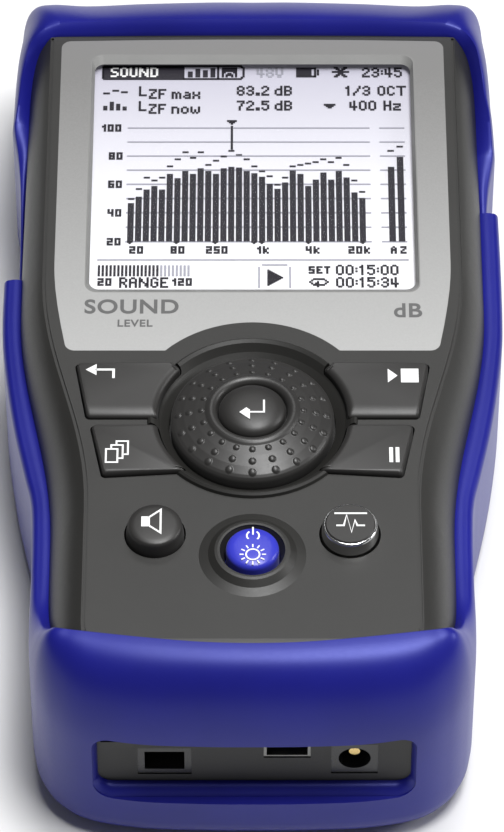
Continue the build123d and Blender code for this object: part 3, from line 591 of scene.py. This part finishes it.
boot_side = [
    (-41.6, 14.2, 30.4, -43.9, 14.2, 30.6, -45.1, 14.2, 29.2, 2.0, 3.2, 4),
    (-41.5, 4.4, 30.4, -43.9, 4.4, 30.6, -45.1, 4.4, 29.2, 2.0, 3.2, 4),
    (-41.1, -2.9, 30.4, -43.4, -2.9, 30.6, -44.7, -2.9, 29.2, 2.0, 3.1, 4),
    (-39.7, -12.4, 30.4, -42.3, -12.4, 30.6, -43.6, -12.4, 29.2, 2.0, 3.1, 4),
    (-37.9, -21.9, 30.4, -40.8, -21.9, 30.6, -42.1, -21.9, 29.2, 2.0, 3.1, 4),
    (-36.1, -31.2, 30.4, -38.9, -31.2, 30.6, -40.2, -31.2, 29.2, 2.0, 3.0, 4),
    (-35.2, -38, 30.4, -37.5, -38, 30.6, -38.8, -38, 29.2, 2.0, 3.0, 4),
    (-34.8, -46, 30.4, -37.1, -46, 30.6, -38.4, -46, 29.2, 2.0, 3.0, 4),
    (-34.7, -56, 30.6, -37.0, -56, 30.8, -38.3, -56, 29.2, 2.0, 3.0, 4.5),
    (-34.6, -63.5, 31.2, -36.8, -63.5, 31.8, -38.4, -64, 28.6, 2.0, 3.0, 5),
    (-34.4, -69, 33.6, -35.8, -69.4, 35.0, -38.3, -70, 27, 2.0, 3.0, 5.5),
    (-34.0, -73, 38.0, -34.6, -74.0, 39.6, -37.8, -75.0, 26, 2.1, 3.0, 6),
    (-33.2, -75.0, 40.9, -33.4, -76.1, 42.5, -36.6, -79.6, 25.5, 2.2, 3.0, 6),
    (-30.2, -75.6, 41.0, -30.3, -76.9, 43.0, -33.8, -84.0, 25, 2.2, 3.0, 6),
    (-25.6, -76.3, 41.0, -25.7, -77.6, 43.1, -28.8, -87.4, 25, 2.2, 3.0, 6),
    (-18.5, -77.3, 41.0, -18.6, -78.6, 43.2, -20.0, -89.3, 25, 2.2, 3.0, 6),
    (-9, -78.3, 41.0, -9, -79.6, 43.2, -9.4, -89.9, 25, 2.2, 3.0, 6),
    (0, -78.6, 41.0, 0, -79.9, 43.2, 0, -90.0, 25, 2.2, 3.0, 6),
]
boot_right = [(-41.6, 30.8, 30.4, -43.9, 30.8, 30.6, -45.1, 30.8, 29.2, 2.0, 3.2, 4),
              (-41.6, 18.0, 30.4, -43.9, 18.0, 30.6, -45.2, 18.0, 29.2, 2.0, 3.2, 4)] + boot_side[1:]
boot = jacket("boot_skin", boot_side, across(boot_right[:-1]), "meter", "lower_boot", ["lower_boot"], 300)
slot_loop = corner_curve([(-26.4, 13.4), (27.0, 13.4), (27.0, 27.2), (-26.4, 27.2)], 2.6, 8)
mouth_loop = corner_curve([(-27.3, 11.6), (27.9, 11.6), (27.9, 27.6), (-27.3, 27.6)], 3.2, 8)
cut_through(boot, *tunnel(mouth_loop, -95.0, -82.0))
dress(boot, blue_rubber)


def end_wall(x):
    """How far out the boot's end stands at a distance from its middle."""
    rows = np.array([(r[6], r[7]) for r in boot_side[-5:]])
    return np.interp(np.abs(x), -rows[::-1, 0], rows[::-1, 1])


def slot_lip():
    """The sloped lip round the opening: rings carried from the opening's outer edge on the end
    wall to its inner edge, then straight in, round the back and out again under the wall."""
    rings = []
    front = [(0.0, 0.05), (0.55, 0.55), (0.85, 1.05), (1.0, 1.7), (1.0, 3.4)]
    behind = [(-0.9, 3.4), (-0.9, 1.2), (0.0, 0.3)]
    for share, depth in front + behind:
        ring = mouth_loop * (1 - share) + slot_loop * share
        rings.append(np.column_stack([ring[:, 0], end_wall(ring[:, 0]) + depth, ring[:, 1]]))
    return np.vstack(rings), grid_faces(len(rings), len(mouth_loop), wrap_u=True, wrap_v=True)


dress(joined_up(put_mesh("slot_lip", *slot_lip(), "meter", "lower_boot", crease=55.0)), blue_rubber)


# ------------------------------------------------------------------ wheel ----
def wheel_top(radius):
    """Height of the wheel's face: straight cone from the hub to the rim, rounded at both ends."""
    knots_r = [7.5, 7.9, 8.3, 10.0, 12.0, 13.4, 13.9, 14.2, 14.3]
    knots_z = [43.7, 43.5, 43.2, 42.75, 42.1, 41.45, 41.1, 40.7, 40.2]
    return np.interp(radius, knots_r, knots_z)


def dimpled_wheel():
    """The ringed wheel: a turned profile whose face carries sixty domes. A dome adds
    height * (1 - (distance / size)^2)^0.5 above the cone, on 20 spokes of three rings."""
    t = np.linspace(0, 2 * np.pi, 720, endpoint=False)
    r = np.concatenate([np.linspace(7.5, 14.2, 78), [14.3]])
    x, y = np.outer(np.cos(t), r), np.outer(np.sin(t), r)
    z = np.broadcast_to(wheel_top(r), x.shape).copy()
    spoke = np.pi / 2 + np.arange(20) * np.pi / 10
    for ring, size, rise in ((13.0, 0.62, 0.30), (11.1, 0.60, 0.32), (8.95, 0.55, 0.32)):
        gap = np.abs((np.arctan2(y, x)[..., None] - spoke + np.pi) % (2 * np.pi) - np.pi).min(-1)
        away = np.sqrt((gap * ring) ** 2 + (r[None] - ring) ** 2) / size
        z += rise * np.sqrt(np.clip(1 - away**2, 0, 1))
    face = np.stack([x + WHEEL[0], y + WHEEL[1], z], -1).reshape(-1, 3)
    outside = [(14.3, 40.2), (14.3, 37.3), (15.2, 37.3), (15.2, 36.2), (13.3, 36.2), (13.3, 37.2)]
    inside = [(6.2, 37.2), (6.2, 42.9), (6.45, 43.3), (6.9, 43.7), (7.5, 43.7)]
    skirt = spun(outside + inside, WHEEL, 720)
    return merged([(face, grid_faces(720, len(r), wrap_u=True)), skirt])


wheel = put_mesh("wheel_face", *dimpled_wheel(), "wheel", "jog_wheel", ["jog_wheel"], 50.0)
dress(joined_up(wheel), wheel_rubber)
enter_stem = [(0, 35.3), (7.4, 35.3), (7.4, 36.6), (5.9, 36.6), (5.9, 42.6), (5.75, 43.1)]
enter_dome = [(5.4, 43.55), (4.8, 43.95), (3.8, 44.3), (2.4, 44.5), (1.2, 44.58), (0, 44.6)]
enter = spun(enter_stem + enter_dome, WHEEL)
dress(joined_up(put_mesh("enter_cap", *enter, "enter_button", "enter_key", ["enter_key"], 50.0)), key_rubber)


# ------------------------------------------------------------- wedge keys ----
def wedge_loop(corners, radius, turn_from, turn_to):
    """Outline of a wedge key, anticlockwise: straight corners, then the arc round the wheel."""
    inset = math.copysign(2.1, turn_to - turn_from)
    degrees = np.concatenate([[turn_from], np.linspace(turn_from + inset, turn_to - inset, 20), [turn_to]])
    t = np.radians(degrees)
    arc = np.column_stack([radius * np.cos(t), WHEEL[1] + radius * np.sin(t)])
    radii = [0.7] * len(corners) + [0.5] + [0.001] * 20 + [0.5]
    return corner_curve(np.vstack([corners, arc]), radii, 5)


def wedge_cap(name, body, foot, top):
    """A wedge key between two outlines with matching points: upright sides on the larger one,
    then a quarter ellipse rising one millimetre to the flat top on the smaller one."""
    foot, top = np.asarray(foot, float), np.asarray(top, float)
    turn = np.linspace(0, np.pi / 2, 9)[1:]
    rows = [(0.0, 36.6), (0.0, FACE)] + [(1 - math.cos(a), FACE + math.sin(a)) for a in turn]
    sheets = [np.column_stack([foot * (1 - w) + top * w, np.full(len(foot), z)]) for w, z in rows]
    count = len(foot)
    faces = [f[::-1] for f in grid_faces(len(rows), count, wrap_v=True)]
    faces += [list(range((len(rows) - 1) * count, len(rows) * count)), list(range(count))[::-1]]
    node = name.removesuffix("_cap")
    piece = put_mesh(name, np.vstack(sheets), faces, body, node, [node], 60.0)
    return dress(joined_up(piece), key_rubber)


def other_side(loop):
    """The same outline on the other side of the middle plane, still anticlockwise."""
    return (np.asarray(loop) * [-1, 1])[::-1]


escape_foot = wedge_loop([(-14.2, -15.6), (-31.0, -15.7), (-28.9, -28.1)], 16.7, 180.34, 138.8)
escape_top = wedge_loop([(-14.4, -16.0), (-30.55, -16.1), (-28.95, -25.7)], 18.1, 172.7, 138.4)
page_foot = wedge_loop([(-28.1, -30.1), (-25.9, -41.5)], 16.7, 228.3, 187.2)
page_top = wedge_loop([(-27.7, -30.5), (-25.65, -40.5)], 17.9, 224.3, 188.0)
wedge_cap("escape_key_cap", "escape_button", escape_foot, escape_top)
wedge_cap("page_key_cap", "page_button", page_foot, page_top)
wedge_cap("start_stop_key_cap", "start_stop_button", other_side(escape_foot), other_side(escape_top))
wedge_cap("pause_key_cap", "pause_button", other_side(page_foot), other_side(page_top))


# -------------------------------------------------------------- round keys ----
def round_cap(name, profile, centre, body, node, finish):
    """A round key: its profile turned about the key's own upright axis."""
    piece = put_mesh(name, *spun(profile, centre), body, node, [node], 50.0)
    return dress(joined_up(piece), finish)


speaker_stem = [(0, 36.6), (5.9, 36.6), (5.9, 37.4), (5.0, 37.4), (5.0, 41.0), (4.72, 43.1)]
speaker_dome = [(4.55, 43.5), (4.2, 43.75), (3.4, 43.9), (2.0, 43.98), (0, 44.0)]
round_cap("speaker_cap", speaker_stem + speaker_dome, SPEAKER, "speaker_button", "speaker_key", key_rubber)
power_stem = [(0, 36.6), (5.6, 36.6), (5.6, 37.4), (4.55, 37.4), (4.55, 42.2), (4.5, 42.6)]
power_dome = [(4.3, 42.95), (3.9, 43.2), (3.0, 43.38), (1.6, 43.48), (0, 43.5)]
round_cap("power_cap", power_stem + power_dome, POWER, "power_button", "power_key", blue_key)
ring_outside = [(4.05, 37.0), (5.0, 37.0), (5.0, 41.0), (4.72, 43.2), (4.6, 43.6)]
ring_rim = [(4.42, 43.72), (4.2, 43.7), (4.08, 43.55), (4.05, 37.0)]
round_cap("limit_ring_skin", ring_outside + ring_rim, LIMIT, "limit_button", "limit_key_ring", chrome_ring)

# --------------------------------------------------------- display figures ----
DOT = 0.35
SPREAD = 0.04
LEFT, TOP = -27.9, 61.2
FIGURES = {
    "0": "-##- #--# #--# #--# #--# #--# -##-", "1": "-#- ##- -#- -#- -#- -#- -#-",
    "2": "-##- #--# ---# --#- -#-- #--- ####", "3": "-##- #--# ---# -##- ---# #--# -##-",
    "4": "--#- #-#- #-#- #-#- #### --#- --#-", "5": "#### #--- ###- ---# ---# #--# -##-",
    "7": "#### ---# --#- --#- -#-- -#-- -#--", "8": "-##- #--# #--# -##- #--# #--# -##-",
    "6": "-##- #--# #--- ###- #--# #--# -##-", ".": "-- -- -- -- -- ## ##", ":": "- - # - # - -",
    "/": "---# ---# --#- --#- -#-- #--- #---", "d": "---# ---# -### #--# #--# #--# -###",
    "B": "###- #--# #--# ###- #--# #--# ###-", "H": "#--# #--# #--# #### #--# #--# #--#",
    "z": "---- ---- #### ---# -##- #--- ####", "O": "-##- #--# #--# #--# #--# #--# -##-",
    "C": "-##- #--# #--- #--- #--- #--# -##-", "T": "##### --#-- --#-- --#-- --#-- --#-- --#--",
    "L": "#--- #--- #--- #--- #--- #--- ####", "V": "#--# #--# #--# #--# #--# -##- -##-",
    "E": "#### #--- #--- ###- #--- #--- ####", "S": "-### #--- #--- -##- ---# ---# ###-",
    "R": "###- #--# #--# ###- #-#- #--# #--#", "A": "-##- #--# #--# #### #--# #--# #--#",
    "N": "#---# ##--# ##--# #-#-# #--## #--## #---#", "G": "-##- #--# #--- #-## #--# #--# -##-",
    "F": "#### #--- #--- ###- #--- #--- #---", "m": "----- ----- ##-#- #-#-# #-#-# #-#-# #-#-#",
    "a": "---- ---- -##- ---# -### #--# -###", "x": "---- ---- #--# #--# -##- #--# #--#",
    "n": "---- ---- ###- #--# #--# #--# #--#", "o": "---- ---- -##- #--# #--# #--# -##-",
    "w": "----- ----- #---# #---# #-#-# #-#-# -#-#-", " ": "-- -- -- -- -- -- --",
}
SMALL = {
    "0": "### #-# #-# #-# ###", "1": "-# ## -# -# -#", "2": "### --# ### #-- ###",
    "4": "#-# #-# ### --# --#", "5": "### #-- ### --# ###", "6": "### #-- ### #-# ###",
    "8": "### #-# ### #-# ###", "k": "#-- #-# ##- ##- #-#", "A": "-#- #-# ### #-# #-#",
    "Z": "### --# -#- #-- ###", "S": "### #-- ### --# ###", "E": "### #-- ##- #-- ###",
    "T": "### -#- -#- -#- -#-",
}
BAND_LETTERS = {**FIGURES, "Z": "#### ---# --#- -#-- -#-- #--- ####"}
TITLE_LETTERS = {
    **FIGURES,
    "U": "#--# #--# #--# #--# #--# #--# -##-",
    "D": "###- #--# #--# #--# #--# #--# ###-",
}
BAND_STEP = 4.006
FIRST_BAND = 15.1


def patch(column, row, wide, high):
    """One rectangle of display dots as plate corners in millimetres."""
    x, y = LEFT + column * DOT, TOP - row * DOT
    return (x - SPREAD, y - high * DOT - SPREAD, x + wide * DOT + SPREAD, y + SPREAD)


def picture(rows, column, row):
    """Display dots drawn as rows of marks: each run of marks becomes one rectangle."""
    found = []
    for line, marks in enumerate(rows.split()):
        start = None
        for place, mark in enumerate(marks + "-"):
            if mark == "#" and start is None:
                start = place
            if mark != "#" and start is not None:
                found.append(patch(column + start, row + line, place - start, 1))
                start = None
    return found


def writing(text, column, row, figures):
    """A line of figures from a left column, one empty column between figures."""
    found = []
    for letter in text:
        shape = figures[letter]
        found += picture(shape, column, row)
        column += len(shape.split()[0]) + 1
    return found


def level_row(level):
    """Row of dots at which a sound level lies on the graph: 100 at the top line, 20 at the axis."""
    return 46.5 + (100 - level) * 1.0214


LEVELS = [46.5, 51, 56, 58.5, 56, 67, 64, 69, 67, 71, 69, 67, 71, 72, 71.5, 69, 67.5, 65, 60, 56.5,
          61, 69.5, 67, 58.5, 63, 68, 63, 69, 64.5, 54, 50]
PEAKS = [50, 57, 65, 63, 65, 73, 78, 83, 79, 83, 74, 77, 80, 84, 81, 78, 73, 69.5, 66, 60, 65, 73,
         74, 75, 76, 78, 76, 79, 74, 63, 55]
dark = [patch(-0.1, 1, 0.7, 9), patch(0.5, 0.3, 43, 10.6), patch(43, 0.3, 31, 1), patch(43, 9.9, 31, 1)]
dark += [patch(61, 0.3, 1, 10), patch(74.5, 2, 1, 7), patch(73.5, 1, 1.2, 1.2), patch(73.5, 8.8, 1.2, 1.2)]
dark += [patch(45.5 + 4 * k, 9 - h, 2.4, h) for k, h in enumerate((4, 6, 5, 6.5))]
dark += picture("######## ######## ######## ##----## #--##--# #-####-# #-#--#-#", 63.5, 2)
dark += [patch(103, 2, 10.5, 1), patch(103, 8, 10.5, 1), patch(103, 3, 8, 5)]
dark += [patch(112.5, 2, 1, 7), patch(114, 3.5, 1, 4)]
dark += picture("-##---##- --##-##-- ---###--- #########", 122, 1.6)
dark += picture("---###--- --##-##-- -##---##-", 122, 6.0)
dark += writing("23:45", 138, 2, FIGURES)
dark += [patch(0.8, 20.6, 3.4, 1), patch(5.6, 18.6, 3.4, 1), patch(10.2, 19.7, 3.4, 1)]
dark += [patch(1 + 3.4 * k, 33.5 - h, 2, h) for k, h in enumerate((3, 6, 4.5, 2.5))]
dark += writing("L", 19.7, 16, FIGURES) + writing("ZF", 25, 18, BAND_LETTERS)
dark += writing("max", 37, 18, FIGURES) + writing("83.2", 71.5, 15.6, FIGURES)
dark += writing("dB", 91.5, 15.6, FIGURES)
dark += writing("L", 19.7, 27, FIGURES) + writing("ZF", 25, 29, BAND_LETTERS)
dark += writing("now", 37, 29, FIGURES) + writing("72.5", 71.5, 26.6, FIGURES)
dark += writing("dB", 91.5, 26.6, FIGURES)
dark += writing("1/3 OCT", 129, 15.6, FIGURES) + writing("400 Hz", 131, 26.6, FIGURES)
dark += picture("###### -####- --##--", 117.5, 29) + picture("##### -###- --#--", 66.4, 41)
dark += [patch(68.4, 45.2, 1, 17)]
dark += writing("A", 151, 131.6, SMALL) + writing("Z", 156, 131.6, SMALL)
axis = level_row(20)
columns = [FIRST_BAND + BAND_STEP * k for k in range(len(LEVELS))]
dark += [patch(c, level_row(v), 3, axis - level_row(v)) for c, v in zip(columns, LEVELS)]
dark += [patch(c, level_row(v), 3, 0.9) for c, v in zip(columns, PEAKS)]
for column, level, peak in ((150.5, 72, 84), (155.3, 79, 87)):
    dark += [patch(column, level_row(level), 3.2, axis - level_row(level))]
    dark += [patch(column, level_row(peak), 3.2, 0.9)]
BAND_LABELS = {"20": 16.3, "80": 37.6, "250": 55.8, "1k": 82.1, "4k": 107.2, "20k": 129.2}
for label, column in BAND_LABELS.items():
    dark += writing(label, column, 131.6, SMALL)
for bar in (0, 6, 11, 16, 17, 23, 30):
    dark += [patch(columns[bar], axis, 2.6, 0.8), patch(columns[bar] + 0.8, axis + 0.8, 1, 0.8)]
for label, level in (("100", 100), ("80", 80), ("60", 60), ("40", 40), ("20", 20)):
    dark += writing(label, 12.6 - 4 * len(label), level_row(level) - 2.4, SMALL)
dark += [patch(0.4 + 2 * k, 145, 1, 7.4) for k in range(16)]
dark += writing("20", 0.4, 154, SMALL) + writing("RANGE", 11.5, 153.4, FIGURES)
dark += writing("120", 38.6, 154, SMALL)
dark += [patch(87.4 + k, 148 + k * 0.72, 1, 11 - 1.44 * k) for k in range(8)]
dark += writing("SET", 108.6, 145.6, SMALL) + writing("00:15:00", 122.6, 144.6, FIGURES)
dark += picture("--######-- -#------#- #---#----# -#-##---#- --######-- ----#-----", 108.8, 154)
dark += writing("00:15:34", 122.6, 153.2, FIGURES)
pale = [patch(14.2, level_row(v) - 0.3, 127, 0.7) for v in range(20, 101, 10)]
pale += [patch(146.5, level_row(v) - 0.3, 13, 0.7) for v in range(20, 101, 10)]
pale += [patch(0, 140.7, 160, 0.7)] + [patch(32.4 + 2 * k, 145, 1, 7.4) for k in range(8)]
pale += [patch(82.7, 146, 0.8, 14.5), patch(98.6, 146, 0.8, 14.5), patch(84.6, 144.2, 13, 0.8)]
pale += writing("48V", 82, 2, FIGURES)
title = writing("SOUND", 4.5, 2, TITLE_LETTERS)
dress(put_mesh("display_marks", *plates(dark, 38.55, 38.62), "meter", "lcd_panel"), ink)
dress(put_mesh("display_pale_marks", *plates(pale, 38.54, 38.60), "meter", "lcd_panel"), pale_ink)
dress(put_mesh("display_title", *plates(title, 38.60, 38.65), "meter", "lcd_panel"), legend_white)


# ------------------------------------------------------------------ legends ----
def ring_path(x, y, radius, start=0.0, stop=360.0, steps=40):
    """Points on an arc of a circle."""
    t = np.radians(np.linspace(start, stop, steps, endpoint=stop - start < 360))
    return np.column_stack([x + radius * np.cos(t), y + radius * np.sin(t)])


def legend(name, parts, body, finish=legend_white):
    """A printed legend made of several flat shapes."""
    return dress(put_mesh(name, *merged(parts), body), finish)


def printed(z):
    """Heights of a thin print on a surface at a height."""
    return z + 0.005, z + 0.035


k0, k1 = printed(42.0)
legend("escape_legend", [
    stroke([(-24.4, -19.6), (-24.4, -17.6), (-27.6, -17.6)], 0.45, k0, k1),
    filled([(-29.3, -17.6), (-27.4, -18.9), (-27.4, -16.3)], k0, k1),
], "escape_button")
legend("page_legend", [
    stroke([(-25.4, -36.0), (-25.4, -39.0), (-23.4, -39.0), (-23.4, -36.0)], 0.32, k0, k1, True),
    stroke([(-24.5, -35.9), (-24.5, -35.1), (-22.5, -35.1), (-22.5, -38.1), (-23.3, -38.1)], 0.32, k0, k1),
    stroke([(-23.6, -35.0), (-23.6, -34.2), (-21.6, -34.2), (-21.6, -37.2), (-22.4, -37.2)], 0.32, k0, k1),
], "page_button")
legend("start_stop_legend", [
    filled([(23.75, -17.4), (23.75, -20.6), (25.45, -19.0)], k0, k1),
    filled([(26.05, -20.6), (29.15, -20.6), (29.15, -17.4), (26.05, -17.4)], k0, k1),
], "start_stop_button")
legend("pause_legend", [
    filled([(23.7, -39.0), (24.35, -39.0), (24.35, -35.6), (23.7, -35.6)], k0, k1),
    filled([(24.8, -39.0), (25.45, -39.0), (25.45, -35.6), (24.8, -35.6)], k0, k1),
], "pause_button")
enter_print = [
    stroke([(2.0, -26.9), (2.0, -29.7), (-0.6, -29.7)], 0.34, 44.5, 44.62),
    filled([(-2.3, -29.7), (-0.45, -31.3), (-0.45, -28.1)], 44.42, 44.58),
]
legend("enter_legend", enter_print, "enter_button")
legend("speaker_legend", [
    filled([(-19.0, -55.1), (-17.8, -55.1), (-17.8, -52.9), (-19.0, -52.9)], 43.9, 44.02),
    stroke([(-17.7, -54.9), (-15.7, -56.5), (-15.7, -51.4), (-17.7, -53.1)], 0.34, 43.9, 44.02, True),
], "speaker_button")
SUN = (0.05, -60.85)
sun = [stroke(ring_path(*SUN, 1.15), 0.28, 43.3, 43.5, True)]
for turn in np.arange(12) * math.pi / 6:
    ray = np.array([SUN, SUN]) + np.outer([1.55, 2.25], [math.cos(turn), math.sin(turn)])
    sun.append(stroke(ray, 0.24, 43.3, 43.5))
sun += [stroke(ring_path(0.08, -56.7, 1.05, 125, 415), 0.28, 43.25, 43.47),
        stroke([(0.08, -54.8), (0.08, -56.5)], 0.28, 43.25, 43.47)]
legend("power_legend", sun, "power_button")
legend("limit_legend", [
    stroke([(14.3, -54.9), (15.6, -54.9), (16.1, -52.5), (16.9, -56.4), (17.5, -53.7), (17.9, -54.9),
            (19.2, -54.9)], 0.34, 43.95, 44.03),
    stroke([(14.0, -52.2), (19.6, -52.2)], 0.34, 43.95, 44.03),
], "limit_button")


def caption(name, words, x, y, size, weight, finish):
    """A printed caption from the built-in face, kept as a flat mesh lying on the plate."""
    text = bpy.data.curves.new(name, "FONT")
    text.body, text.size, text.extrude, text.align_x = words, size * MM, 0.02 * MM, "CENTER"
    text.offset, text.space_character = weight * MM, 1.08
    holder = bpy.data.objects.new("lettering", text)
    bpy.context.scene.collection.objects.link(holder)
    bpy.context.view_layer.update()
    shape = bpy.data.meshes.new_from_object(holder.evaluated_get(bpy.context.evaluated_depsgraph_get()))
    bpy.data.objects.remove(holder)
    shape.transform(Matrix.Translation((x * MM, y * MM, (FACE + 0.025) * MM)))
    shape.name = name
    piece = bpy.data.objects.new(name, shape)
    bpy.context.scene.collection.objects.link(piece)
    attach(piece, "meter")
    return dress(piece, finish)


caption("plate_caption", "SOUND", -21.5, -3.3, 4.6, 0.10, legend_grey)
caption("plate_line", "LEVEL", -20.9, -6.5, 2.3, 0.05, legend_grey)
caption("plate_unit", "dB", 27.6, -4.2, 4.6, 0.10, legend_grey)

# -------------------------------------------------------------------- stage ----
bpy.ops.mesh.primitive_plane_add(size=6.0, location=(0, 0, -0.0004))
floor = bpy.context.object
floor.name = "floor"
floor_finish, floor_tree, floor_shader = material("pale_floor")
floor_shader.inputs["Base Color"].default_value = (0.80, 0.80, 0.80, 1)
floor_tree.links.new(span(floor_tree, noise(floor_tree, 40.0), 0.6, 0.7), floor_shader.inputs["Roughness"])
dress(floor, floor_finish)


def soft_light(name, place, target, size, power, shape=(1, 1)):
    """A rectangular lamp pointing at a target."""
    lamp = bpy.data.lights.new(name, "AREA")
    lamp.shape, lamp.size, lamp.size_y, lamp.energy = "RECTANGLE", size * shape[0], size * shape[1], power
    holder = bpy.data.objects.new(name, lamp)
    holder.location = place
    holder.rotation_euler = (Vector(target) - Vector(place)).to_track_quat("-Z", "Y").to_euler()
    bpy.context.scene.collection.objects.link(holder)


soft_light("lamp_key", (0.20, -0.16, 1.15), (0, -0.02, 0.03), 0.38, 11.0)
soft_light("lamp_over", (0.06, 0.20, 1.12), (0, 0, 0.03), 0.40, 5.5)
soft_light("lamp_right", (0.85, 0.05, 0.45), (0, -0.02, 0.03), 0.30, 2.5)
soft_light("lamp_behind", (0.05, 0.72, 0.90), (0, 0, 0.03), 0.45, 1.2, (1.3, 0.5))
world = bpy.data.worlds.new("studio")
world.use_nodes = True
world.node_tree.nodes["Background"].inputs["Color"].default_value = (0.9, 0.92, 0.95, 1)
world.node_tree.nodes["Background"].inputs["Strength"].default_value = 0.10
bpy.context.scene.world = world
bpy.context.scene.view_settings.view_transform = "Standard"

view = bpy.data.cameras.new("main_view")
view.sensor_width = 36.0
view.lens = 223.1
view.shift_x = -0.0006
view.shift_y = 0.0024
camera = bpy.data.objects.new("main_view", view)
camera.location = (0.0, -0.61845, 0.72024)
camera.rotation_euler = (math.radians(41.0), 0, 0)
bpy.context.scene.collection.objects.link(camera)
bpy.context.scene.camera = camera
